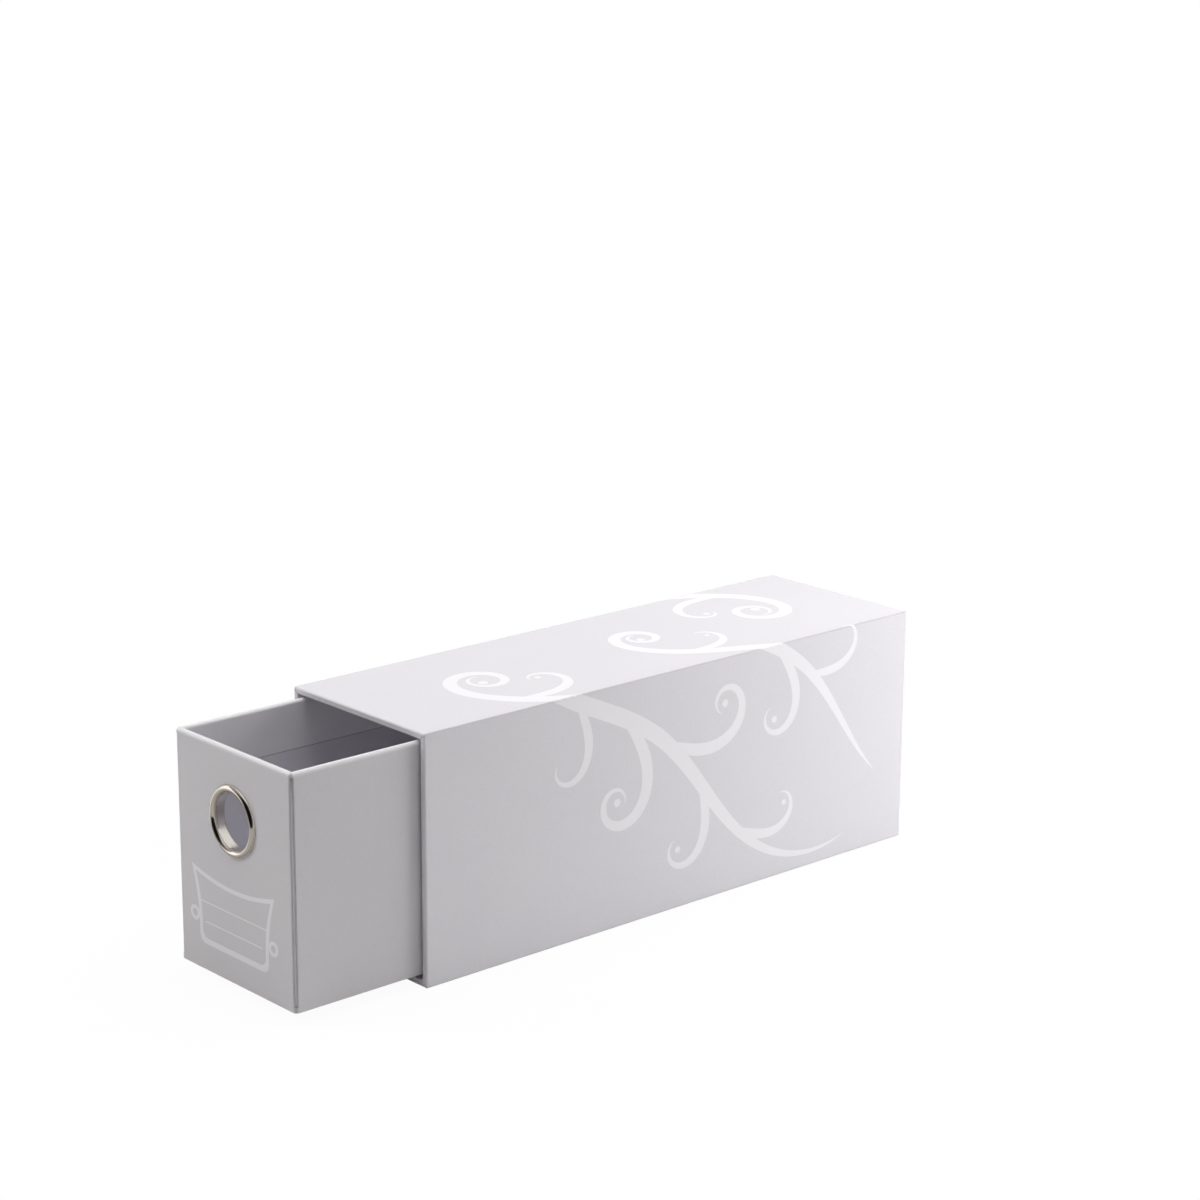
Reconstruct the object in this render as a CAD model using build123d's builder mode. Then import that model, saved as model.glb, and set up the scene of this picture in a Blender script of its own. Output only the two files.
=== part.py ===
"""Trading card drawer box: a rigid board sleeve and a drawer that slides in it.

+Z is up and the drawer opens towards -Y. The origin is the middle of the sleeve's underside.
Every length is in millimetres. Both shells are made the way a rigid box is: greyboard panels
with 45 degree grooved edges, a paper wrap turned in over each rim, and a paper lining.
"""

import os

from build123d import *

# Sheet stock
board = 2.5  # greyboard
paper = 0.2  # laminated wrap and lining sheets
seam_gap = 0.3  # between two sheets that meet edge to edge
mitre_gap = 0.2  # between two wrap edges that meet at a corner
mitre_spread = 0.5  # the same at the outer end of the mitres round the sleeve's mouth
overcut = 1.0  # cutting shapes pass this far beyond what they cut

# Sleeve
sleeve_width = 86.0
sleeve_height = 107.0
sleeve_length = 277.0
sleeve_edge_radius = 0.6  # board, along the folds and both sides of the mouth's rim
mouth_turn_in = 18.0  # wrap folded into the mouth
back_turn_in = 15.0  # wrap folded onto the back panel
back_paper_margin = 2.5  # back paper stops this far from the edge
base_paper_margin = 3.0  # base paper stops this far from the edge

# How the drawer fits the sleeve
side_clearance = 1.15
top_clearance = 1.0
bottom_clearance = 1.9
end_clearance = 0.8  # behind the closed drawer
drawer_pull = 61.4  # how far the drawer stands open

# Drawer
rim_radius = 1.0  # board, both sides of the drawer's rim
drawer_fold_radius = 0.5  # board, round the base
drawer_turn_in = 20.3  # wrap folded down inside the rim
front_wrap_tuck = 15.0  # front wrap folded under the base
corner_notch = 1.35  # open joint down each front corner
bevel_setback = 0.15  # above and below the joint the corner is cut off this much less
notch_edge_radius = 0.25  # board edges beside the open joint
notch_foot = 2.6  # the joint starts this far above the base
notch_cap = 1.9  # and ends this far under the rim

# Finger ring
ring_drop = 29.3  # ring centre below the drawer's rim
ring_bore_radius = 11.75
ring_sheet = 0.4  # pressed steel
flange_width = 3.25  # rounded front flange, bore to outer edge
flange_height = 1.5
hole_clearance = 0.15  # between the barrel and the holes that it goes through
collar_width = 2.6
collar_height = 0.9
collar_chamfer = 0.45
roll_width = 1.6  # barrel end rolled out over the collar
roll_height = 0.75

os.makedirs("parts", exist_ok=True)


def save(part, name):
    """Labels one piece and writes it as parts/NAME.step."""
    part.label = name
    export_step(part, f"parts/{name}.step")


# ---------------------------------------------------------------- sleeve
# The wrap lies outside the boards. Its edges on the back and along the underside are hidden by
# the back paper and the base paper, so there the boards lie two sheets deep.

mouth_y = -sleeve_length / 2
rear_y = sleeve_length / 2
core_front_y = mouth_y + paper
core_rear_y = rear_y - 2 * paper
core_length = core_rear_y - core_front_y
core_width = sleeve_width - 2 * paper
core_low_z = 2 * paper
core_high_z = sleeve_height - paper
core_height = core_high_z - core_low_z
core_mid_z = (core_low_z + core_high_z) / 2
bay_width = core_width - 2 * board
bay_height = core_height - 2 * board
throat_width = bay_width - 2 * paper
throat_height = bay_height - 2 * paper


def across_sleeve(y):
    """Upright plane across the box at y; what is drawn on it is extruded towards -Y."""
    return Plane.XZ.offset(-y)


def sleeve_tube(skin):
    """The board tube, or the tube under a wrap of thickness skin, with its mouth rounded."""
    edge_radius = sleeve_edge_radius + skin
    with BuildPart() as tube:
        with BuildSketch(across_sleeve(core_rear_y + skin)):
            with Locations((0, core_mid_z)):
                Rectangle(core_width + 2 * skin, core_height + 2 * skin)
        extrude(amount=core_length + 2 * skin)
        folds = edges().filter_by(Axis.Y)
        fillet(folds + faces().sort_by(Axis.Y)[0].edges(), edge_radius)
        with BuildSketch(across_sleeve(core_rear_y)):
            with Locations((0, core_mid_z)):
                Rectangle(bay_width - 2 * skin, bay_height - 2 * skin)
        extrude(amount=core_length + skin, mode=Mode.SUBTRACT)
        fillet(faces().sort_by(Axis.Y)[0].inner_wires()[0].edges(), edge_radius)
    return tube.part


sleeve_boards = sleeve_tube(0)


def wall_outline(half_width, half_depth, across, along):
    """End view of one wall of a mitred box, with 45 degree ends and overcut beyond both faces.

    (across, along) points from the middle of the box to the wall, such as (0, 1).
    """
    outer_x, outer_y = half_width + overcut, half_depth + overcut
    inner_x, inner_y = half_width - board - overcut, half_depth - board - overcut
    if along:
        return [
            (-outer_x, along * outer_y),
            (outer_x, along * outer_y),
            (inner_x, along * inner_y),
            (-inner_x, along * inner_y),
        ]
    return [
        (across * outer_x, -outer_y),
        (across * outer_x, outer_y),
        (across * inner_x, inner_y),
        (across * inner_x, -inner_y),
    ]


def sleeve_wall(across, up):
    """One wall of the board tube; (0, 1) is the top and (1, 0) the right."""
    with BuildPart() as wall:
        with BuildSketch(across_sleeve(core_rear_y + overcut)):
            with Locations((0, core_mid_z)):
                Polygon(*wall_outline(core_width / 2, core_height / 2, across, up), align=None)
        extrude(amount=core_length + 2 * overcut)
        add(sleeve_boards, mode=Mode.INTERSECT)
    return wall.part


save(sleeve_wall(0, 1), "sleeve_top_board")
save(sleeve_wall(0, -1), "sleeve_bottom_board")
save(sleeve_wall(1, 0), "sleeve_right_board")
save(sleeve_wall(-1, 0), "sleeve_left_board")

with BuildPart() as sleeve_back_board:
    with BuildSketch(across_sleeve(core_rear_y)):
        with Locations((0, core_mid_z)):
            Rectangle(bay_width, bay_height)
    extrude(amount=board)
save(sleeve_back_board.part, "sleeve_back_board")

with BuildPart() as sleeve_back_liner:
    with BuildSketch(across_sleeve(core_rear_y - board)):
        with Locations((0, core_mid_z)):
            Rectangle(throat_width, throat_height)
    extrude(amount=paper)
save(sleeve_back_liner.part, "sleeve_back_liner")

liner_rear_y = core_rear_y - board
liner_front_y = mouth_y + mouth_turn_in + seam_gap
with BuildPart() as sleeve_liner:
    with BuildSketch(across_sleeve(liner_rear_y)):
        with Locations((0, core_mid_z)):
            Rectangle(bay_width, bay_height)
            Rectangle(throat_width, throat_height, mode=Mode.SUBTRACT)
    extrude(amount=liner_rear_y - liner_front_y)
save(sleeve_liner.part, "sleeve_liner")

wrap_rear_y = core_rear_y + paper
wrap_height = core_height + 2 * paper
turn_in_rear_y = mouth_y + mouth_turn_in
with BuildPart() as sleeve_wrap:
    add(sleeve_tube(paper))
    add(sleeve_boards, mode=Mode.SUBTRACT)
    # no sheet on the boards behind the flaps that are turned into the mouth
    with BuildSketch(across_sleeve(core_rear_y)):
        with Locations((0, core_mid_z)):
            Rectangle(bay_width, bay_height)
    extrude(amount=core_rear_y - turn_in_rear_y, mode=Mode.SUBTRACT)
    # back panel, bare inside the turned-in edge
    bare_width = sleeve_width - 2 * back_turn_in
    bare_height = wrap_height - 2 * back_turn_in
    with BuildSketch(across_sleeve(wrap_rear_y)):
        with Locations((0, core_mid_z)):
            Rectangle(bare_width, bare_height)
    extrude(amount=paper, mode=Mode.SUBTRACT)
    # the two ends of the sheet meet along the middle of the underside
    with BuildSketch(Plane.XY.offset(core_low_z)):
        Rectangle(seam_gap, sleeve_length)
    extrude(amount=-paper, mode=Mode.SUBTRACT)
    # mitred flaps: a slit across each corner of the mouth and along the flaps behind it
    rim_thickness = board + 2 * paper
    rim_diagonal = rim_thickness * 2**0.5
    for across in (-1, 1):
        for up in (-1, 1):
            corner = (across * sleeve_width / 2, core_mid_z + up * wrap_height / 2)
            slant = 180 + across * up * 45 if across > 0 else across * up * 45
            with BuildSketch(across_sleeve(core_front_y)):
                with Locations(Location(corner, slant)):
                    Polygon(
                        (0, -mitre_spread / 2),
                        (rim_diagonal, -mitre_gap / 2),
                        (rim_diagonal, mitre_gap / 2),
                        (0, mitre_spread / 2),
                        align=None,
                    )
            extrude(amount=paper, mode=Mode.SUBTRACT)
            with BuildSketch(across_sleeve(turn_in_rear_y)):
                with Locations(Location(corner, slant)):
                    with Locations((rim_diagonal - paper, 0)):
                        Rectangle(3 * paper, mitre_gap)
            extrude(amount=mouth_turn_in, mode=Mode.SUBTRACT)
save(sleeve_wrap.part, "sleeve_wrap")

with BuildPart() as sleeve_back_paper:
    with BuildSketch(across_sleeve(rear_y)):
        with Locations((0, core_mid_z)):
            Rectangle(sleeve_width - 2 * back_paper_margin, wrap_height - 2 * back_paper_margin)
            Rectangle(bare_width - 2 * paper, bare_height - 2 * paper, mode=Mode.SUBTRACT)
    extrude(amount=paper)
    # pressed down onto the bare board, so that the wrap's edge shows through as a step
    with BuildSketch(across_sleeve(wrap_rear_y)):
        with Locations((0, core_mid_z)):
            Rectangle(bare_width, bare_height)
    extrude(amount=paper)
save(sleeve_back_paper.part, "sleeve_back_paper")

with BuildPart() as sleeve_base_paper:
    with BuildSketch():
        Rectangle(sleeve_width - 2 * base_paper_margin, sleeve_length - 2 * base_paper_margin)
    extrude(amount=paper)
save(sleeve_base_paper.part, "sleeve_base_paper")


# ---------------------------------------------------------------- drawer
# The front face is flush with the sleeve's mouth when the drawer is shut.

drawer_width = throat_width - 2 * side_clearance
drawer_length = liner_rear_y - paper - end_clearance - mouth_y
drawer_low_z = core_low_z + board + paper + bottom_clearance
drawer_rim_z = core_high_z - board - paper - top_clearance
drawer_front_y = mouth_y - drawer_pull
drawer_rear_y = drawer_front_y + drawer_length
drawer_mid_y = (drawer_front_y + drawer_rear_y) / 2

hull_width = drawer_width - 2 * paper
hull_length = drawer_length - 2 * paper
hull_low_z = drawer_low_z + paper
hull_high_z = drawer_rim_z - paper
well_width = hull_width - 2 * board
well_length = hull_length - 2 * board
floor_z = hull_low_z + board
turn_in_z = drawer_rim_z - drawer_turn_in


same_place = 0.001  # two points nearer than this along an axis are level


def is_notch_lip(edge, corner_x, corner_y):
    """True for the two upright edges beside a front notch, on the front and on the side."""
    middle = edge.center()
    off_side = abs(abs(abs(middle.X) - corner_x) - corner_notch) < same_place
    off_front = abs(middle.Y - corner_y - corner_notch) < same_place
    on_side = abs(abs(middle.X) - corner_x) < same_place
    on_front = abs(middle.Y - corner_y) < same_place
    return (off_side and on_front) or (off_front and on_side)


def drawer_box(skin):
    """Closed body of the drawer, a sheet of thickness skin outside the boards, notches cut."""
    low_z = hull_low_z - skin
    high_z = hull_high_z + skin
    corner_x = hull_width / 2 + skin
    corner_y = drawer_mid_y - hull_length / 2 - skin
    foot_z = drawer_low_z + notch_foot - paper + skin
    cap_z = drawer_rim_z - notch_cap + paper - skin
    with BuildPart() as box:
        with BuildSketch(Plane.XY.offset(low_z)):
            with Locations((0, drawer_mid_y)):
                Rectangle(hull_width + 2 * skin, hull_length + 2 * skin)
            # the sheet stays as thick across the bevel as on the walls beside it
            corner_bevel = corner_notch - bevel_setback + (2 - 2**0.5) * skin
            chamfer(vertices().sort_by(Axis.Y)[:2], corner_bevel)
        extrude(amount=high_z - low_z)
        fillet(faces().sort_by(Axis.Z)[-1].edges(), rim_radius + skin)
        fillet(faces().sort_by(Axis.Z)[0].edges(), drawer_fold_radius + skin)
        # the well, and the inner edge of the rim round it
        with BuildSketch(Plane.XY.offset(high_z)):
            with Locations((0, drawer_mid_y)):
                Rectangle(well_width - 2 * skin, well_length - 2 * skin)
        extrude(amount=floor_z - high_z, mode=Mode.SUBTRACT)
        fillet(faces().sort_by(Axis.Z)[-1].inner_wires()[0].edges(), rim_radius + skin)
        # the open joint down each front corner
        with BuildSketch(Plane.XY.offset(foot_z)):
            with Locations((corner_x, corner_y), (-corner_x, corner_y)):
                Rectangle(2 * corner_notch, 2 * corner_notch)
        extrude(amount=cap_z - foot_z, mode=Mode.SUBTRACT)
        uprights = edges().filter_by(Axis.Z)
        lips = uprights.filter_by(lambda edge: is_notch_lip(edge, corner_x, corner_y))
        fillet(lips, notch_edge_radius + skin)
    return box.part


drawer_boards = drawer_box(0)

with BuildPart() as drawer_base_board:
    with BuildSketch(Plane.XY.offset(hull_low_z)):
        with Locations((0, drawer_mid_y)):
            Rectangle(hull_width, hull_length)
    extrude(amount=board, taper=45)
    add(drawer_boards, mode=Mode.INTERSECT)
save(drawer_base_board.part, "drawer_base_board")

with BuildPart() as ring_hole:
    with BuildSketch(across_sleeve(drawer_front_y + board + 2 * paper)):
        with Locations((0, drawer_rim_z - ring_drop)):
            Circle(ring_bore_radius + ring_sheet + hole_clearance)
    extrude(amount=board + 2 * paper)


def drawer_wall(across, along):
    """One upright board of the drawer, cut at 45 degrees along its base and both ends."""
    with BuildPart() as wall:
        with BuildSketch(Plane.XY.offset(hull_low_z - overcut)):
            with Locations((0, drawer_mid_y)):
                Polygon(*wall_outline(hull_width / 2, hull_length / 2, across, along), align=None)
        extrude(amount=hull_high_z - hull_low_z + 2 * overcut)
        add(drawer_boards, mode=Mode.INTERSECT)
        add(drawer_base_board.part, mode=Mode.SUBTRACT)
        if along < 0:
            add(ring_hole.part, mode=Mode.SUBTRACT)
    return wall.part


save(drawer_wall(0, -1), "drawer_front_board")
save(drawer_wall(0, 1), "drawer_back_board")
save(drawer_wall(1, 0), "drawer_right_board")
save(drawer_wall(-1, 0), "drawer_left_board")

with BuildPart() as drawer_floor_liner:
    with BuildSketch(Plane.XY.offset(floor_z)):
        with Locations((0, drawer_mid_y)):
            Rectangle(well_width, well_length)
    extrude(amount=paper)
save(drawer_floor_liner.part, "drawer_floor_liner")

with BuildPart() as drawer_liner:
    with BuildSketch(Plane.XY.offset(floor_z + paper)):
        with Locations((0, drawer_mid_y)):
            Rectangle(well_width, well_length)
            Rectangle(well_width - 2 * paper, well_length - 2 * paper, mode=Mode.SUBTRACT)
    extrude(amount=turn_in_z - seam_gap - floor_z - paper)
    add(ring_hole.part, mode=Mode.SUBTRACT)
save(drawer_liner.part, "drawer_liner")

with BuildPart() as drawer_skin:
    add(drawer_box(paper))
    add(drawer_boards, mode=Mode.SUBTRACT)
    # bare below the turned-in edge, where the liner goes
    with BuildSketch(Plane.XY.offset(floor_z)):
        with Locations((0, drawer_mid_y)):
            Rectangle(well_width, well_length)
    extrude(amount=turn_in_z - floor_z, mode=Mode.SUBTRACT)
    add(ring_hole.part, mode=Mode.SUBTRACT)


def front_wrap_zone(gap, tuck):
    """Upright prism round the front wrap, its mitred sides moved out by gap."""
    reach = tuck + board
    side_x = drawer_width / 2 + gap * 2**0.5
    with BuildPart() as zone:
        with BuildSketch(Plane.XY.offset(drawer_low_z)):
            Polygon(
                (-side_x - board, drawer_front_y - board),
                (side_x + board, drawer_front_y - board),
                (side_x + board - reach, drawer_front_y - board + reach),
                (-side_x - board + reach, drawer_front_y - board + reach),
                align=None,
            )
        extrude(amount=drawer_rim_z - drawer_low_z)
    return zone.part


with BuildPart() as drawer_front_wrap:
    add(drawer_skin.part)
    add(front_wrap_zone(-mitre_gap / 2, front_wrap_tuck), mode=Mode.INTERSECT)
save(drawer_front_wrap.part, "drawer_front_wrap")

with BuildPart() as drawer_wrap:
    add(drawer_skin.part)
    add(front_wrap_zone(mitre_gap / 2, front_wrap_tuck + seam_gap), mode=Mode.SUBTRACT)
save(drawer_wrap.part, "drawer_wrap")


# ---------------------------------------------------------------- finger ring
# An eyelet pressed from sheet steel: its barrel goes through the front wall and is rolled out
# over a loose collar inside the drawer. Both are turned about the ring's axis, and their
# profiles are drawn on the level plane through it.

ring_z = drawer_rim_z - ring_drop
ring_axis = Axis((0, 0, ring_z), (0, 1, 0))
inner_face_y = drawer_front_y + board + 2 * paper
collar_y = inner_face_y + collar_height
barrel_radius = ring_bore_radius + ring_sheet


with BuildPart() as finger_ring:
    with BuildSketch(Plane.XY.offset(ring_z)):
        with BuildLine():
            # crown of the flange, hollow behind
            ThreePointArc(
                (ring_bore_radius, drawer_front_y),
                (ring_bore_radius + flange_width / 2, drawer_front_y - flange_height),
                (ring_bore_radius + flange_width, drawer_front_y),
            )
            Polyline(
                (ring_bore_radius + flange_width, drawer_front_y),
                (ring_bore_radius + flange_width - ring_sheet, drawer_front_y),
                (ring_bore_radius + flange_width / 2, drawer_front_y - flange_height + ring_sheet),
                (barrel_radius, drawer_front_y),
                (barrel_radius, collar_y),
                (ring_bore_radius + roll_width, collar_y),
                (ring_bore_radius + roll_width - roll_height, collar_y + roll_height),
                (barrel_radius, collar_y + roll_height),
                (ring_bore_radius, collar_y + roll_height - ring_sheet),
                (ring_bore_radius, drawer_front_y),
            )
        make_face()
    revolve(axis=ring_axis)
save(finger_ring.part, "finger_ring")

with BuildPart() as finger_ring_collar:
    with BuildSketch(across_sleeve(collar_y)):
        with Locations((0, ring_z)):
            Circle(barrel_radius + collar_width)
            Circle(barrel_radius + hole_clearance, mode=Mode.SUBTRACT)
    extrude(amount=collar_height)
    outer_back_edge = faces().sort_by(Axis.Y)[-1].edges().sort_by(SortBy.RADIUS)[-1]
    chamfer(outer_back_edge, collar_chamfer)
save(finger_ring_collar.part, "finger_ring_collar")
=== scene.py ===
"""Trading card drawer box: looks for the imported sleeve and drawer, in metres, +Z up."""

import math

import bmesh
import bpy
import numpy as np
from mathutils import Matrix, Vector


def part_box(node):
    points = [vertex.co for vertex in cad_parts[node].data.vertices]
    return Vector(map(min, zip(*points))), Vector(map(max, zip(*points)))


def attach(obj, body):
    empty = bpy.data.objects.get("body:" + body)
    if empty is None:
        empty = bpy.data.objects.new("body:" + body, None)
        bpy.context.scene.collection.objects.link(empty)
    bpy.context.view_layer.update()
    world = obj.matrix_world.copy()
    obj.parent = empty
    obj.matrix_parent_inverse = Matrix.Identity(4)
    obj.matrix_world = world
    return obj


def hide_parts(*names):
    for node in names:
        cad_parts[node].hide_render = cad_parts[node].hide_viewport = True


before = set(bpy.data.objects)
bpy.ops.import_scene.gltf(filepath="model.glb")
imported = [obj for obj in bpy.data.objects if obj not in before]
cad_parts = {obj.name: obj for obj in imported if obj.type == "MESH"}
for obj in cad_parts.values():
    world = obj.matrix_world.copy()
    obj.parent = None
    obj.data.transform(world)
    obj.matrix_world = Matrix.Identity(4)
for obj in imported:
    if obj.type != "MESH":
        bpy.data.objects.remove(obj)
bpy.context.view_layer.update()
scene = bpy.context.scene
scene.view_settings.view_transform = "Standard"
mm = 0.001

# ---------------------------------------------------------------- camera
# A short telephoto lens from the front right, a little above the box.
camera_data = bpy.data.cameras.new("camera")
camera_data.lens = 89.03
camera_data.sensor_width = 36.0
camera_data.clip_start = 0.01
camera_data.clip_end = 100
camera = bpy.data.objects.new("camera", camera_data)
camera.matrix_world = (
    Matrix.Translation((0.91012, -0.82424, 0.46136))
    @ Matrix.Rotation(math.radians(48.1204), 4, "Z")
    @ Matrix.Rotation(math.radians(90 - 15.1916), 4, "X")
    @ Matrix.Rotation(math.radians(0.3189), 4, "Z")
)
scene.collection.objects.link(camera)
scene.camera = camera

# ---------------------------------------------------------------- greyboard
# Every wall of both shells is grey chipboard, pressed from waste paper and grooved to fold.
# The wraps and linings hide it, so it shows only through an open joint.


def linear(hex_colour):
    """sRGB hex to a linear colour with alpha 1."""
    srgb = np.array([int(hex_colour[i : i + 2], 16) / 255 for i in (1, 3, 5)])
    return (*np.where(srgb <= 0.04045, srgb / 12.92, ((srgb + 0.055) / 1.055) ** 2.4), 1.0)


def node(tree, kind, inputs=(), **attributes):
    """Adds one node. Attributes are its own settings; inputs pair a socket's name or number
    with a value, or with the output that feeds it."""
    made = tree.nodes.new(kind)
    for name, value in attributes.items():
        setattr(made, name, value)
    for socket, value in dict(inputs).items():
        if isinstance(value, bpy.types.NodeSocket):
            tree.links.new(value, made.inputs[socket])
        else:
            made.inputs[socket].default_value = value
    return made


def blank_material(name):
    """A material with an empty tree, and its place in object coordinates."""
    material = bpy.data.materials.new(name)
    material.use_nodes = True
    material.node_tree.nodes.clear()
    place = node(material.node_tree, "ShaderNodeTexCoord").outputs["Object"]
    return material, material.node_tree, place


def dress(material, *names):
    """Gives a material to every slot of these CAD nodes."""
    for name in names:
        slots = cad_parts[name].data.materials
        for number in range(len(slots)):
            slots[number] = material


# Raw waste pulp: a cloudy warm grey with darker and paler specks, and a dusty, open surface.
greyboard, tree, place = blank_material("greyboard")
pulp = node(tree, "ShaderNodeTexNoise", {"Vector": place, "Scale": 1 / (4 * mm), "Detail": 6.0})
ground = node(
    tree,
    "ShaderNodeMix",
    {0: pulp.outputs["Fac"], 6: linear("#9A958E"), 7: linear("#B4AFA7")},
    data_type="RGBA",
)
speck = node(tree, "ShaderNodeTexVoronoi", {"Vector": place, "Scale": 1 / (0.8 * mm)})
speck_share = node(
    tree,
    "ShaderNodeMapRange",
    {"Value": speck.outputs["Distance"], "From Max": 0.25, "To Min": 0.6, "To Max": 0.0},
)
speckled = node(
    tree,
    "ShaderNodeMix",
    {0: speck_share.outputs["Result"], 6: ground.outputs[2], 7: linear("#6E6962")},
    data_type="RGBA",
)
fuzz = node(
    tree,
    "ShaderNodeBump",
    {"Strength": 0.5, "Distance": 0.05 * mm, "Height": pulp.outputs["Fac"]},
)
shader = node(
    tree,
    "ShaderNodeBsdfPrincipled",
    {
        "Base Color": speckled.outputs[2],
        "Roughness": 0.9,
        "IOR": 1.45,
        "Specular IOR Level": 0.2,
        "Normal": fuzz.outputs["Normal"],
    },
)
node(tree, "ShaderNodeOutputMaterial", {"Surface": shader.outputs[0]})
dress(
    greyboard,
    "sleeve_top_board",
    "sleeve_bottom_board",
    "sleeve_left_board",
    "sleeve_right_board",
    "sleeve_back_board",
    "drawer_base_board",
    "drawer_front_board",
    "drawer_back_board",
    "drawer_left_board",
    "drawer_right_board",
)

# ---------------------------------------------------------------- wraps
# Both shells are covered in one pale cool grey printed paper with a matt film on it, pasted
# down and turned in over every rim. The sleeve's back and base have a plain sheet over them.


def wrap_paper(name, face, cloud, grain_tint, marks):
    """Matt laminated paper: colours of its face, of its faint clouds and of the board's grain
    through it. Each mark, wear or painted light and shade, is a colour and a function that gives
    the output that is its share."""
    material, tree, place = blank_material(name)
    # uneven pasting shows as clouds about 30 mm across
    clouds = node(
        tree,
        "ShaderNodeTexNoise",
        {"Vector": place, "Scale": 1 / (30 * mm), "Detail": 3.0},
    )
    cloudy = node(
        tree,
        "ShaderNodeMix",
        {0: clouds.outputs["Fac"], 6: linear(face), 7: linear(cloud)},
        data_type="RGBA",
    )
    # the board's grain through the sheet, about 0.5 mm in truth, drawn at 0.9 mm to show
    grain = node(
        tree,
        "ShaderNodeTexNoise",
        {"Vector": place, "Scale": 1 / (0.9 * mm), "Detail": 3.0, "Roughness": 0.6},
    )
    grain_share = node(
        tree,
        "ShaderNodeMapRange",
        {"Value": grain.outputs["Fac"], "From Min": 0.35, "From Max": 0.65, "To Max": 0.12},
    )
    mottled = node(
        tree,
        "ShaderNodeMix",
        {0: grain_share.outputs["Result"], 6: cloudy.outputs[2], 7: linear(grain_tint)},
        data_type="RGBA",
    )
    # the marks laid over the paper: wear, and light and shade painted into the colour
    wear_and_painted_light = mottled
    for colour, share in marks:
        wear_and_painted_light = node(
            tree,
            "ShaderNodeMix",
            {0: share(tree, place), 6: wear_and_painted_light.outputs[2], 7: linear(colour)},
            data_type="RGBA",
        )
    film = node(
        tree,
        "ShaderNodeMapRange",
        {"Value": grain.outputs["Fac"], "To Min": 0.5, "To Max": 0.62},
    )
    relief = node(
        tree,
        "ShaderNodeBump",
        {"Strength": 0.35, "Distance": 0.02 * mm, "Height": grain.outputs["Fac"]},
    )
    shader = node(
        tree,
        "ShaderNodeBsdfPrincipled",
        {
            "Base Color": wear_and_painted_light.outputs[2],
            "Roughness": film.outputs["Result"],
            "IOR": 1.47,
            "Specular IOR Level": 0.35,
            "Normal": relief.outputs["Normal"],
        },
    )
    node(tree, "ShaderNodeOutputMaterial", {"Surface": shader.outputs[0]})
    return material


def sleeve_creases(tree, place):
    """1 on the middle of the four long folds and 0 elsewhere: |x| + |z - middle| passes the
    level that the flat faces reach only there."""
    low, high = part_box("sleeve_wrap")
    reach = high.x + (high.z - low.z) / 2
    axes = node(tree, "ShaderNodeSeparateXYZ", {0: place})
    across = node(tree, "ShaderNodeMath", {0: axes.outputs["X"]}, operation="ABSOLUTE")
    raised = node(
        tree,
        "ShaderNodeMath",
        {0: axes.outputs["Z"], 1: (low.z + high.z) / 2},
        operation="SUBTRACT",
    )
    upright = node(tree, "ShaderNodeMath", {0: raised.outputs[0]}, operation="ABSOLUTE")
    both = node(tree, "ShaderNodeMath", {0: across.outputs[0], 1: upright.outputs[0]})
    share = node(
        tree,
        "ShaderNodeMapRange",
        {
            "Value": both.outputs[0],
            "From Min": reach - 0.74 * mm,
            "From Max": reach - 0.52 * mm,
            "To Max": 0.75,
        },
    )
    return share.outputs["Result"]


def drawer_base_painted_shade(tree, place):
    """1 at the drawer's two base folds, darkened there as painted shade, and 0 above them."""
    axes = node(tree, "ShaderNodeSeparateXYZ", {0: place})
    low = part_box("drawer_wrap")[0].z
    share = node(
        tree,
        "ShaderNodeMapRange",
        {
            "Value": axes.outputs["Z"],
            "From Min": low + 0.15 * mm,
            "From Max": low + 0.45 * mm,
            "To Min": 0.6,
            "To Max": 0.0,
        },
    )
    return share.outputs["Result"]


def drawer_inside_painted_light(tree, place):
    """1 on the sheet turned in over the walls, made paler as painted light inside the drawer, and
    0
    outside: the point divided by half the room inside, from its middle, has no part above 1."""
    wall = 2.5 * mm
    low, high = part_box("drawer_wrap")
    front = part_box("drawer_front_wrap")[0].y
    room = node(
        tree,
        "ShaderNodeMapping",
        {
            "Vector": place,
            "Location": (0, (front + high.y) / 2, (low.z + high.z) / 2 + 3 * wall),
            "Scale": (high.x - wall, (high.y - front) / 2 - wall, (high.z - low.z) / 2),
        },
        vector_type="TEXTURE",
    )
    parts = node(tree, "ShaderNodeVectorMath", {0: room.outputs[0]}, operation="ABSOLUTE")
    axes = node(tree, "ShaderNodeSeparateXYZ", {0: parts.outputs[0]})
    level = node(
        tree,
        "ShaderNodeMath",
        {0: axes.outputs["X"], 1: axes.outputs["Y"]},
        operation="MAXIMUM",
    )
    largest = node(
        tree,
        "ShaderNodeMath",
        {0: level.outputs[0], 1: axes.outputs["Z"]},
        operation="MAXIMUM",
    )
    share = node(
        tree,
        "ShaderNodeMath",
        {0: largest.outputs[0], 1: 1.0},
        operation="LESS_THAN",
    )
    return share.outputs[0]


def drawer_rim_painted_highlight(tree, place):
    """1 on the rounded rim, which faces up, made paler there as a painted highlight, and 0 below
    it.
    """
    axes = node(tree, "ShaderNodeSeparateXYZ", {0: place})
    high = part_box("drawer_wrap")[1].z
    share = node(
        tree,
        "ShaderNodeMapRange",
        {
            "Value": axes.outputs["Z"],
            "From Min": high - 1.9 * mm,
            "From Max": high - 0.7 * mm,
            "To Max": 0.9,
        },
    )
    return share.outputs["Result"]


sleeve_paper = wrap_paper(
    "sleeve_paper",
    "#DEDCDF",
    "#DBD9DD",
    "#C2BBC0",
    [("#C2BBC0", sleeve_creases)],
)
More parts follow.
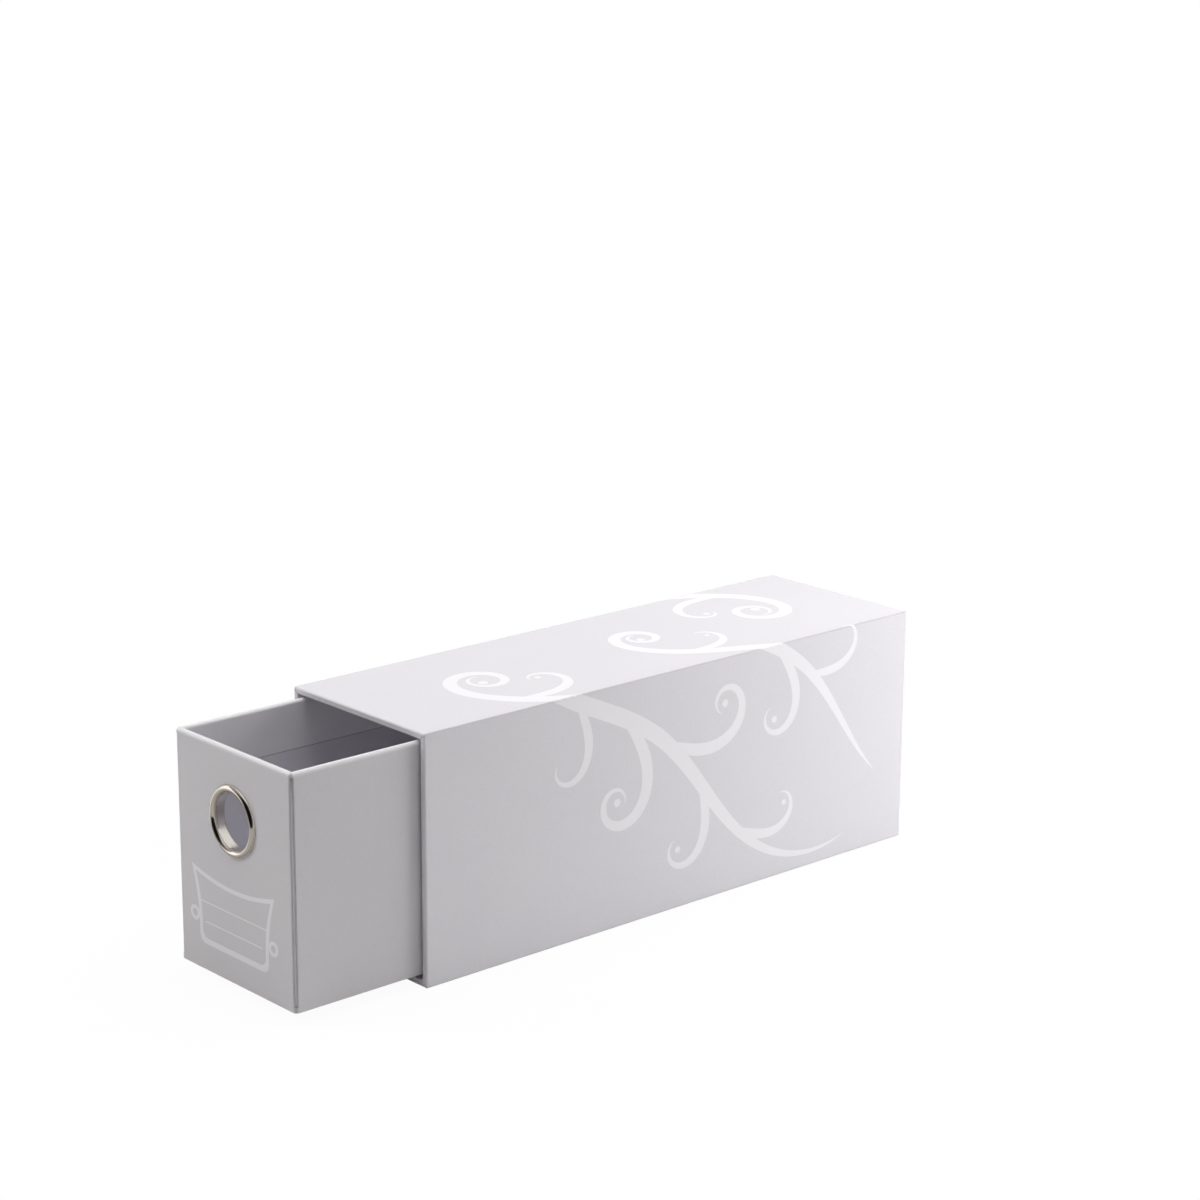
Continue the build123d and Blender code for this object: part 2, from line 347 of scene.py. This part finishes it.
# The drawer's copy of the paper is a little darker and more neutral: partly a more neutral paper,
# partly painted shade. Its marks: paler inside as painted light, darker at the base as painted
# shade, paler on the rim as a painted highlight.
drawer_paper = wrap_paper(
    "drawer_paper",
    "#D3D0D2",
    "#D0CDD0",
    "#B9B3B7",
    [("#EAE7EB", drawer_inside_painted_light), ("#C2BBC0", drawer_base_painted_shade), ("#E5E3E5", drawer_rim_painted_highlight)],
)
dress(sleeve_paper, "sleeve_wrap", "sleeve_back_paper", "sleeve_base_paper")
dress(drawer_paper, "drawer_wrap", "drawer_front_wrap")

# ---------------------------------------------------------------- linings
# Uncoated grey lining paper on the walls and floor inside both shells, a little bluer than
# the wrap, with soft fibres and no film, so it takes the light evenly.
lining_paper, tree, place = blank_material("lining_paper")
fibre = node(
    tree,
    "ShaderNodeTexNoise",
    {"Vector": place, "Scale": 1 / (1.2 * mm), "Detail": 5.0, "Roughness": 0.65},
)
fibred = node(
    tree,
    "ShaderNodeMix",
    {0: fibre.outputs["Fac"], 6: linear("#DCDAE1"), 7: linear("#E4E2E9")},
    data_type="RGBA",
)
nap = node(
    tree,
    "ShaderNodeBump",
    {"Strength": 0.4, "Distance": 0.03 * mm, "Height": fibre.outputs["Fac"]},
)
shader = node(
    tree,
    "ShaderNodeBsdfPrincipled",
    {
        "Base Color": fibred.outputs[2],
        "Roughness": 0.85,
        "IOR": 1.45,
        "Specular IOR Level": 0.2,
        "Normal": nap.outputs["Normal"],
    },
)
node(tree, "ShaderNodeOutputMaterial", {"Surface": shader.outputs[0]})
dress(lining_paper, "sleeve_liner", "sleeve_back_liner", "drawer_liner", "drawer_floor_liner")

# ---------------------------------------------------------------- printed scrollwork
# A paler ink, flat on the sleeve's wrap: long tapering stems that roll up in scrolls on the
# top and run over the long folds down the sides, with side shoots, and beads in the scrolls.
# It is laid out on the flat sheet, in mm: u goes round the sleeve from the middle of its top
# towards the right side, and v runs from the mouth to the back.
sheet_half_width = 43.0
sheet_fold_radius = 0.8
sheet_top = 107.0
sheet_mouth = -138.5
ink_rise = 0.012
ink_root = 0.03
stroke_tip = 0.06


def stem(start, heading, length, bends, width, widest, steps=140, across=5):
    """A tapering stroke, as points (steps, across, 2). Its curvature, in degrees per mm, runs
    evenly through bends; its heading is the curvature summed along it, and its middle line
    the heading summed. Its width is a sine of the way along, skewed to be widest at widest."""
    way = np.linspace(0, 1, steps)
    step = length / (steps - 1)
    curve = np.interp(way, np.linspace(0, 1, len(bends)), bends)
    turn = np.concatenate([[0], np.cumsum((curve[1:] + curve[:-1]) / 2 * step)])
    angle = np.radians(heading + turn)
    along = (angle[1:] + angle[:-1]) / 2
    u = start[0] + np.concatenate([[0], np.cumsum(np.sin(along) * step)])
    v = start[1] + np.concatenate([[0], np.cumsum(np.cos(along) * step)])
    skew = math.log(0.5) / math.log(widest)
    half = stroke_tip + width / 2 * np.sin(np.pi * way**skew) ** 0.8
    side = np.linspace(-1, 1, across) * half[:, None]
    across_u, across_v = np.cos(angle)[:, None], -np.sin(angle)[:, None]
    return np.stack([u[:, None] + side * across_u, v[:, None] + side * across_v], -1)


def bead(middle, radius, bore=0.0, around=40):
    """A round dot, or a ring where bore isn't 0: circles (around + 1, 2, 2) that come back to
    their start."""
    angle = np.linspace(0, 2 * np.pi, around + 1)[:, None]
    reach = np.array([bore, radius])
    return np.stack([middle[0] + reach * np.cos(angle), middle[1] + reach * np.sin(angle)], -1)


def ink(name, strokes, folds, carry):
    """One closed mesh of all strokes. Each grid of points is a thin slab, ink_rise above the
    sheet and ink_root in it; the slabs are cut along the folds while flat, then carry(points)
    takes (u, v, height) in mm to its place in metres. Each stroke lies a hair above the last,
    so that none share a face where they cross."""
    points, faces, first = [], [], 0
    for number, grid in enumerate(strokes):
        rows, columns = grid.shape[:2]
        rise = ink_rise * (1 + number / len(strokes)) / 2
        top = np.concatenate([grid.reshape(-1, 2), np.full((rows * columns, 1), rise)], 1)
        root = np.concatenate([grid.reshape(-1, 2), np.full((rows * columns, 1), -ink_root)], 1)
        index = first + np.arange(rows * columns).reshape(rows, columns)
        below = index + rows * columns
        a, b, c, d = index[:-1, :-1], index[1:, :-1], index[1:, 1:], index[:-1, 1:]
        quads = [np.stack([a, b, c, d], -1).reshape(-1, 4)]
        quads.append(quads[0][:, ::-1] + rows * columns)
        for edge, under in ((index[:, 0], below[:, 0]), (index[::-1, -1], below[::-1, -1])):
            quads.append(np.stack([edge[1:], edge[:-1], under[:-1], under[1:]], -1))
        if np.abs(grid[0] - grid[-1]).max() > 1e-6:
            for edge, under in ((index[0, ::-1], below[0, ::-1]), (index[-1], below[-1])):
                quads.append(np.stack([edge[1:], edge[:-1], under[:-1], under[1:]], -1))
        points += [top, root]
        faces.append(np.concatenate(quads))
        first += 2 * rows * columns
    mesh = bpy.data.meshes.new(name)
    mesh.from_pydata(np.concatenate(points).tolist(), [], np.concatenate(faces).tolist())
    flat = bmesh.new()
    flat.from_mesh(mesh)
    for fold in folds:
        geometry = flat.verts[:] + flat.edges[:] + flat.faces[:]
        bmesh.ops.bisect_plane(flat, geom=geometry, plane_co=(fold, 0, 0), plane_no=(1, 0, 0))
    bmesh.ops.remove_doubles(flat, verts=flat.verts[:], dist=1e-4)
    bmesh.ops.recalc_face_normals(flat, faces=flat.faces[:])
    flat.to_mesh(mesh)
    flat.free()
    place = np.empty(len(mesh.vertices) * 3)
    mesh.vertices.foreach_get("co", place)
    mesh.vertices.foreach_set("co", carry(place.reshape(-1, 3)).ravel())
    mesh.update()
    made = bpy.data.objects.new(name, mesh)
    scene.collection.objects.link(made)
    return made


def round_the_sleeve(points):
    """Wraps the flat sheet: level on the top, a quarter circle at each long fold, then down."""
    u, v, height = points.T
    level = sheet_half_width - sheet_fold_radius
    arc = sheet_fold_radius * np.pi / 2
    angle = np.clip((np.abs(u) - level) / sheet_fold_radius, 0, np.pi / 2)
    radius = sheet_fold_radius + height
    x = np.sign(u) * (np.minimum(np.abs(u), level) + radius * np.sin(angle))
    past_fold = np.maximum(np.abs(u) - level - arc, 0)
    z = sheet_top - sheet_fold_radius + radius * np.cos(angle) - past_fold
    return np.stack([x, sheet_mouth + v, z], 1) * mm


def branch(start, heading, length, hand, width):
    """A side shoot: a stem that bends ever harder to one hand, +1 or -1, and rolls up."""
    bends = hand * np.array([0.5, 1.3, 2.6, 4.6, 7.5, 12.0])
    return stem(start, heading, length, bends, width, 0.3, 150)


fold_start = sheet_half_width - sheet_fold_radius
fold_cuts = fold_start + np.linspace(0, 1, 6) * sheet_fold_radius * np.pi / 2
# a scroll on the top by the mouth; its stem goes over the fold and down along the side
first_vine = [
    stem((-4, 66), 200, 330, [-9, -5.2, -1.6, -0.1, 0.7, -0.2, -0.9, -1.0], 7.5, 0.45, 360),
    branch((31, 58), 12, 66, -1, 4.8),
    branch((46, 80), 62, 54, 1, 4.4),
    branch((57, 105), 48, 96, 1, 6.0),
    branch((74, 131), 28, 84, -1, 5.5),
    branch((96, 150), 72, 60, 1, 4.8),
    branch((122, 173), 28, 50, -1, 4.2),
    bead((4, 62), 2.2),
    bead((13, 84), 1.5),
    bead((94, 102), 1.8),
    bead((63, 164), 1.7),
    bead((123, 137), 1.5),
    bead((116, 201), 1.3),
]
# a smaller one behind it
second_vine = [
    stem((-8, 158), 200, 232, [-11, -6.4, -1.9, -0.1, 0.8, 0.1, -0.7], 6.5, 0.45, 300),
    branch((26, 158), 8, 48, -1, 4.0),
    branch((44, 195), 48, 66, 1, 4.8),
    branch((60, 216), 8, 46, -1, 3.8),
    bead((-1, 155), 1.9),
    bead((12.5, 182), 1.2),
    bead((76.5, 194), 1.5),
]
# the first one again, turned half round this point of the top, so it runs down the other side
turning_point = np.array([0, 145])
turned_vine = [2 * turning_point - grid for grid in first_vine]
all_folds = np.concatenate([fold_cuts, -fold_cuts])
scrollwork = ink("scrollwork", first_vine + second_vine + turned_vine, all_folds, round_the_sleeve)


def printed_ink(name, face, cloud):
    """Opaque pale ink under the same matt film: denser and smoother than the bare sheet, with
    the faintest unevenness from the press."""
    material, tree, place = blank_material(name)
    press = node(
        tree,
        "ShaderNodeTexNoise",
        {"Vector": place, "Scale": 1 / (1.5 * mm), "Detail": 4.0},
    )
    tone = node(
        tree,
        "ShaderNodeMix",
        {0: press.outputs["Fac"], 6: linear(face), 7: linear(cloud)},
        data_type="RGBA",
    )
    relief = node(
        tree,
        "ShaderNodeBump",
        {"Strength": 0.2, "Distance": 0.015 * mm, "Height": press.outputs["Fac"]},
    )
    shader = node(
        tree,
        "ShaderNodeBsdfPrincipled",
        {
            "Base Color": tone.outputs[2],
            "Roughness": 0.5,
            "IOR": 1.47,
            "Specular IOR Level": 0.35,
            "Normal": relief.outputs["Normal"],
        },
    )
    node(tree, "ShaderNodeOutputMaterial", {"Surface": shader.outputs[0]})
    return material


pale_ink = printed_ink("pale_ink", "#ECEAEC", "#EFEDEF")
scrollwork.data.materials.append(pale_ink)
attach(scrollwork, "sleeve")

# ---------------------------------------------------------------- label print
# A frame for the owner's label, in a slightly greyer ink on the drawer's front, with two lines
# to write on and a small ring at each side.
front_face = -199.9
label_middle = -1.6


def on_the_front(points):
    """Stands the flat print up on the drawer's front: u goes right and v up."""
    u, v, height = points.T
    return np.stack([label_middle + u, front_face - height, v], 1) * mm


def label_frame(corners, sags, weight, steps=14):
    """A band round a closed outline. Each side runs between two corners and bows towards the
    middle by its sag, as one minus a square. The inner edge is the outer one drawn in by
    weight, in proportion to the frame's half width and half height."""
    corners = np.array(corners, float)
    middle = (corners.min(0) + corners.max(0)) / 2
    half = (corners.max(0) - corners.min(0)) / 2
    way = np.linspace(0, 1, steps, endpoint=False)[None, :, None]
    here, there = corners[:, None], np.roll(corners, -1, 0)[:, None]
    line = there - here
    inward = np.stack([line[..., 1], -line[..., 0]], -1)
    inward = inward / np.linalg.norm(line, axis=-1, keepdims=True)
    bow = np.array(sags)[:, None, None] * (1 - (2 * way - 1) ** 2)
    outer = (here + line * way + inward * bow).reshape(-1, 2)
    outer = np.concatenate([outer, outer[:1]])
    inner = middle + (outer - middle) * (1 - weight / half)
    return np.stack([outer, inner], 1)


def rule(left, right, level, weight):
    """A straight level line."""
    ends = np.array([left, right])[:, None]
    levels = level + np.array([-0.5, 0.5]) * weight
    return np.stack(np.broadcast_arrays(ends, levels), -1)


plaque = label_frame(
    [(28, 49), (23.5, 20), (20, 16.5), (-20, 16.5), (-23.5, 20), (-28, 49)],
    [1.4, -0.8, 0, -0.8, 1.4, 4.0],
    2.5,
)
label_strokes = [
    plaque,
    rule(-23, 23, 34.5, 0.55),
    rule(-19.5, 19.5, 26.1, 0.55),
    bead((-26.6, 28), 3.2, 1.6),
    bead((26.6, 28), 3.2, 1.6),
]
label_print = ink("label_print", label_strokes, [], on_the_front)
label_print.data.materials.append(printed_ink("label_ink", "#E5E3E5", "#E8E6E8"))
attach(label_print, "drawer")

# ---------------------------------------------------------------- corner folds
# Where the two sheets meet in the open joint down each front corner, the raw edge of the side
# sheet is folded into a fine round bead, pasted in the corner of the joint.
fold_radius = 0.42
fold_x = 37.95
fold_y = -198.9
fold_low = 7.9
fold_high = 100.9


def corner_fold(name, hand, around=12, steps=40):
    """A bead up the joint. Its radius is the square root of 1 - s**8, with s from -1 to 1 up
    its height, so that it is even along its length and round at both ends."""
    share = np.linspace(-1, 1, steps)[:, None]
    angle = np.linspace(0, 2 * np.pi, around, endpoint=False)[None, :]
    radius = fold_radius * np.sqrt(1 - share**8)
    x = hand * fold_x + radius * np.cos(angle)
    y = fold_y + radius * np.sin(angle)
    z = np.broadcast_to((fold_low + fold_high) / 2 + share * (fold_high - fold_low) / 2, x.shape)
    points = np.stack([x, y, z], -1).reshape(-1, 3) * mm
    index = np.arange(steps * around).reshape(steps, around)
    ahead = np.roll(index, -1, 1)
    quads = np.stack([index[:-1], ahead[:-1], ahead[1:], index[1:]], -1).reshape(-1, 4)
    mesh = bpy.data.meshes.new(name)
    mesh.from_pydata(points.tolist(), [], quads.tolist())
    skin = bmesh.new()
    skin.from_mesh(mesh)
    bmesh.ops.remove_doubles(skin, verts=skin.verts[:], dist=1e-6)
    bmesh.ops.recalc_face_normals(skin, faces=skin.faces[:])
    skin.to_mesh(mesh)
    skin.free()
    mesh.shade_smooth()
    mesh.materials.append(drawer_paper)
    made = bpy.data.objects.new(name, mesh)
    scene.collection.objects.link(made)
    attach(made, "drawer")


corner_fold("corner_fold_right", 1)
corner_fold("corner_fold_left", -1)

# ---------------------------------------------------------------- finger ring
# An eyelet pressed from sheet steel and bright nickel plated. Its round flange lies on the
# front, its barrel goes through the wall, and its end is rolled out over a loose collar.
ring_height = 73.8
ring_bore = 11.75
crown_width = 3.25
crown_rise = 1.5
ring_sheet = 0.4
collar_back = 3.8
roll_width = 1.6
roll_rise = 0.75


def bow(start, end, rise, steps):
    """Points of the circular arc from start to end, rise beyond the middle of its chord."""
    start, end = np.array(start, float), np.array(end, float)
    chord = end - start
    span = np.hypot(*chord)
    ahead = chord / span
    beyond = np.array([-ahead[1], ahead[0]])
    radius = (span**2 / 4 + rise**2) / (2 * rise)
    sweep = math.asin(min(1.0, span / 2 / abs(radius))) * np.linspace(-1, 1, steps)[:, None]
    middle = (start + end) / 2 + beyond * (rise - radius)
    return middle + radius * (beyond * np.cos(sweep) + ahead * np.sin(sweep) * np.sign(radius))


def turned(name, outline, axis_height, around=160):
    """Carries a closed outline of (radius, depth) points round the ring's axis."""
    angle = np.linspace(0, 2 * np.pi, around, endpoint=False)[:, None]
    radius, depth = outline.T
    x = radius * np.cos(angle)
    z = axis_height + radius * np.sin(angle)
    y = np.broadcast_to(front_face + depth, x.shape)
    points = np.stack([x, y, z], -1).reshape(-1, 3) * mm
    index = np.arange(around * len(outline)).reshape(around, -1)
    beyond = np.roll(index, -1, 0)
    ring = [index, np.roll(index, -1, 1), np.roll(beyond, -1, 1), beyond]
    quads = np.stack(ring, -1).reshape(-1, 4)
    mesh = bpy.data.meshes.new(name)
    mesh.from_pydata(points.tolist(), [], quads.tolist())
    skin = bmesh.new()
    skin.from_mesh(mesh)
    bmesh.ops.recalc_face_normals(skin, faces=skin.faces[:])
    skin.to_mesh(mesh)
    skin.free()
    mesh.shade_smooth()
    mesh.set_sharp_from_angle(angle=math.radians(50))
    made = bpy.data.objects.new(name, mesh)
    scene.collection.objects.link(made)
    return made


crown_edge = ring_bore + crown_width
inner_edge = crown_edge - ring_sheet
inner_rise = crown_rise - ring_sheet
ring_outline = np.concatenate(
    [
        bow((crown_edge, 0), (ring_bore, 0), crown_rise, 28),
        [(ring_bore, 0.9), (ring_bore, 1.8), (ring_bore, 2.7)],
        bow((ring_bore, collar_back), (ring_bore + roll_width, collar_back), roll_rise, 14),
        [(ring_bore + ring_sheet, collar_back), (ring_bore + ring_sheet, 0.1)],
        bow((ring_bore + ring_sheet, 0), (inner_edge, 0), -inner_rise, 12),
    ]
)
eyelet = turned("eyelet", ring_outline, ring_height)

# Bright nickel over pressed steel: a warm mirror on the crown, and round the barrel's inside
# the fine lines that the tool left, 0.2 mm apart in truth and drawn at 0.35 mm.
nickel_plate, tree, place = blank_material("nickel_plate")
axes = node(tree, "ShaderNodeSeparateXYZ", {0: place})
tool_lines = node(
    tree,
    "ShaderNodeTexWave",
    {"Vector": place, "Scale": 2 * math.pi / 20 / (0.35 * mm), "Distortion": 0.6, "Detail": 2.0},
    bands_direction="Y",
)
tarnish = node(tree, "ShaderNodeTexNoise", {"Vector": place, "Scale": 1 / (6 * mm), "Detail": 3.0})
plate = node(
    tree,
    "ShaderNodeMix",
    {0: tarnish.outputs["Fac"], 6: linear("#CBC4BB"), 7: linear("#D6D0C8")},
    data_type="RGBA",
)
in_barrel = node(
    tree,
    "ShaderNodeMapRange",
    {"Value": axes.outputs["Y"], "From Min": front_face * mm, "From Max": (front_face + 0.8) * mm},
)
score_depth = node(
    tree, "ShaderNodeMath", {0: in_barrel.outputs["Result"], 1: 0.25}, operation="MULTIPLY"
)
barrel_plate = node(
    tree,
    "ShaderNodeMix",
    {0: in_barrel.outputs["Result"], 6: plate.outputs[2], 7: linear("#DAD5CE")},
    data_type="RGBA",
)
scored = node(
    tree,
    "ShaderNodeBump",
    {
        "Strength": score_depth.outputs[0],
        "Distance": 0.02 * mm,
        "Height": tool_lines.outputs["Fac"],
    },
)
polish = node(
    tree,
    "ShaderNodeMapRange",
    {"Value": tarnish.outputs["Fac"], "To Min": 0.06, "To Max": 0.14},
)
dulled = node(
    tree,
    "ShaderNodeMix",
    {0: in_barrel.outputs["Result"], 2: polish.outputs["Result"], 3: 0.3},
)
shader = node(
    tree,
    "ShaderNodeBsdfPrincipled",
    {
        "Base Color": barrel_plate.outputs[2],
        "Metallic": 1.0,
        "Roughness": dulled.outputs[0],
        "Normal": scored.outputs["Normal"],
    },
)
node(tree, "ShaderNodeOutputMaterial", {"Surface": shader.outputs[0]})
eyelet.data.materials.append(nickel_plate)
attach(eyelet, "drawer")
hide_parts("finger_ring")
dress(nickel_plate, "finger_ring", "finger_ring_collar")

# ---------------------------------------------------------------- floor and light
# A wide pale table that burns out to white round the box, and keeps a faint shadow under it.
floor_half = 12.0
floor_level = -0.02 * mm
floor_mesh = bpy.data.meshes.new("floor")
corner = np.array([(-1, -1), (1, -1), (1, 1), (-1, 1)]) * floor_half
floor_points = np.column_stack([corner, np.full(4, floor_level)])
floor_mesh.from_pydata(floor_points.tolist(), [], [(0, 1, 2, 3)])
floor = bpy.data.objects.new("floor", floor_mesh)
scene.collection.objects.link(floor)


def looked_at(tree):
    """1 for a ray from the camera, a mirror or a clear piece, and 0 for one that lights."""
    rays = node(tree, "ShaderNodeLightPath")
    seen = node(
        tree,
        "ShaderNodeMath",
        {0: rays.outputs["Is Camera Ray"], 1: rays.outputs["Is Glossy Ray"]},
        operation="MAXIMUM",
    )
    seen_all = node(
        tree,
        "ShaderNodeMath",
        {0: seen.outputs[0], 1: rays.outputs["Is Transmission Ray"]},
        operation="MAXIMUM",
    )
    return seen_all.outputs[0]


table_top, tree, place = blank_material("table_top")
reach = node(tree, "ShaderNodeVectorMath", {0: place}, operation="LENGTH")
burn_share = node(
    tree,
    "ShaderNodeMapRange",
    {"Value": reach.outputs["Value"], "From Min": 0.1, "From Max": 0.45, "To Min": 0.95},
    interpolation_type="SMOOTHSTEP",
)
burn = node(
    tree,
    "ShaderNodeMath",
    {0: looked_at(tree), 1: burn_share.outputs["Result"]},
    operation="MULTIPLY",
)
satin = node(tree, "ShaderNodeTexNoise", {"Vector": place, "Scale": 3.0})
laminate = node(
    tree,
    "ShaderNodeMix",
    {0: satin.outputs["Fac"], 6: linear("#EDEDEE"), 7: linear("#F0F0F0")},
    data_type="RGBA",
)
top = node(tree, "ShaderNodeBsdfDiffuse", {"Color": laminate.outputs[2]})
white = node(tree, "ShaderNodeEmission", {"Color": (1, 1, 1, 1), "Strength": 1.0})
blend = node(
    tree,
    "ShaderNodeMixShader",
    {0: burn.outputs[0], 1: top.outputs[0], 2: white.outputs[0]},
)
node(tree, "ShaderNodeOutputMaterial", {"Surface": blend.outputs[0]})
floor_mesh.materials.append(table_top)

# The room's own even light, and white where the camera or a reflection looks at it.
world = bpy.data.worlds.new("world")
world.use_nodes = True
scene.world = world
tree = world.node_tree
tree.nodes.clear()
room = node(tree, "ShaderNodeBackground", {"Color": linear("#F4F4F8"), "Strength": 0.02})
paper_white = node(tree, "ShaderNodeBackground", {"Color": (1, 1, 1, 1), "Strength": 1.0})
blend = node(
    tree,
    "ShaderNodeMixShader",
    {0: looked_at(tree), 1: room.outputs[0], 2: paper_white.outputs[0]},
)
node(tree, "ShaderNodeOutputWorld", {"Surface": blend.outputs[0]})


def softbox(name, place, aim, width, height, power):
    """A rectangular studio lamp at place that faces aim, in metres and watts."""
    lamp = bpy.data.lights.new(name, "AREA")
    lamp.shape = "RECTANGLE"
    lamp.size = width
    lamp.size_y = height
    lamp.energy = power
    made = bpy.data.objects.new(name, lamp)
    away = Vector(place) - Vector(aim)
    turn = away.to_track_quat("Z", "Y").to_matrix().to_4x4()
    made.matrix_world = Matrix.Translation(place) @ turn
    scene.collection.objects.link(made)
    return made


overhead = softbox("overhead_softbox", (0.1, 0.04, 1.3), (0.0, 0.01, 0.1), 1.3, 1.0, 13.9)
overhead.visible_glossy = False
back = softbox("back_softbox", (0.26, 0.39, 0.22), (0.043, 0.08, 0.05), 0.4, 0.4, 1.82)
back.visible_glossy = False
softbox("front_softbox", (-0.72, -0.87, 0.84), (-0.02, -0.2, 0.05), 0.7, 0.7, 7.9)


# Painted reflections: cards in front of the box that glow and are seen only in mirrors, so that
# the ring shows a studio; they light nothing and cast no shadow.
card_plane = -0.5


def painted_reflection_card(name, corners, colour, strength=1.0):
    """A flat sheet with these corners, in metres, that glows in one colour as a painted
    reflection.
    It gives the glow, its tree and its place as well, for a pattern."""
    material, tree, place = blank_material(name)
    glow = node(tree, "ShaderNodeEmission", {"Color": linear(colour), "Strength": strength})
    node(tree, "ShaderNodeOutputMaterial", {"Surface": glow.outputs[0]})
    mesh = bpy.data.meshes.new(name)
    mesh.from_pydata(corners, [], [range(len(corners))])
    mesh.materials.append(material)
    card = bpy.data.objects.new(name, mesh)
    scene.collection.objects.link(card)
    card.visible_camera = False
    card.visible_diffuse = False
    card.visible_shadow = False
    card.visible_transmission = False
    return glow, tree, place


# a painted reflection of the grey end of the room, with the dark camera and its stand painted as a
# slanting blot before it
room_half = [(2.2, 0), (2.2, 3.4), (1, 1.68), (0.5, 0.97)]
room_outline = room_half + [(0, 0.55)] + [(-x, z) for x, z in room_half[::-1]]
room_corners = [(x, card_plane, z) for x, z in room_outline]
glow, tree, place = painted_reflection_card("room_reflection_card", room_corners, "#A3A19E")
blot = node(
    tree,
    "ShaderNodeMapping",
    {
        "Vector": place,
        "Location": (0.12, card_plane, 0.14),
        "Rotation": (0, -math.pi / 4, 0),
        "Scale": (0.38, 1.0, 0.24),
    },
    vector_type="TEXTURE",
)
blot_reach = node(tree, "ShaderNodeVectorMath", {0: blot.outputs[0]}, operation="LENGTH")
blot_share = node(
    tree,
    "ShaderNodeMapRange",
    {"Value": blot_reach.outputs["Value"], "From Min": 0.8, "From Max": 1.7},
)
studio = node(
    tree,
    "ShaderNodeMix",
    {0: blot_share.outputs["Result"], 6: linear("#151311"), 7: linear("#A3A19E")},
    data_type="RGBA",
)
tree.links.new(studio.outputs[2], glow.inputs["Color"])
# a painted highlight: a low white lamp at the left of the camera, seen only in mirrors
lamp_outline = [(-1.3, 0.62), (-0.8, 0.6), (-0.32, 0.2), (-0.23, 0), (-0.9, 0)]
painted_reflection_card("lamp_reflection_card", [(x, card_plane + 0.005, z) for x, z in lamp_outline], "#FFFDFA", 1.6)
# painted reflections of the shaded table between the box and the camera, and of the camera's own
# dark foot on it
near_strip = [(-0.2, -0.25), (0.6, -0.25), (0.6, -0.203), (-0.2, -0.203)]
far_strip = [(-0.2, -0.494), (0.6, -0.494), (0.6, -0.25), (-0.2, -0.25)]
foot_front = [(-0.25, -0.494), (0.3, -0.494), (0.0, -0.47)]
foot_outline = foot_front + [(-0.1, -0.41), (-0.18, -0.365), (-0.24, -0.4)]
painted_reflection_card("table_shade_reflection_near", [(x, y, 0.001) for x, y in near_strip], "#A3A19E")
painted_reflection_card("table_reflection_far", [(x, y, 0.001) for x, y in far_strip], "#C4C2BF")
painted_reflection_card("foot_reflection_card", [(x, y, 0.002) for x, y in foot_outline], "#171513")
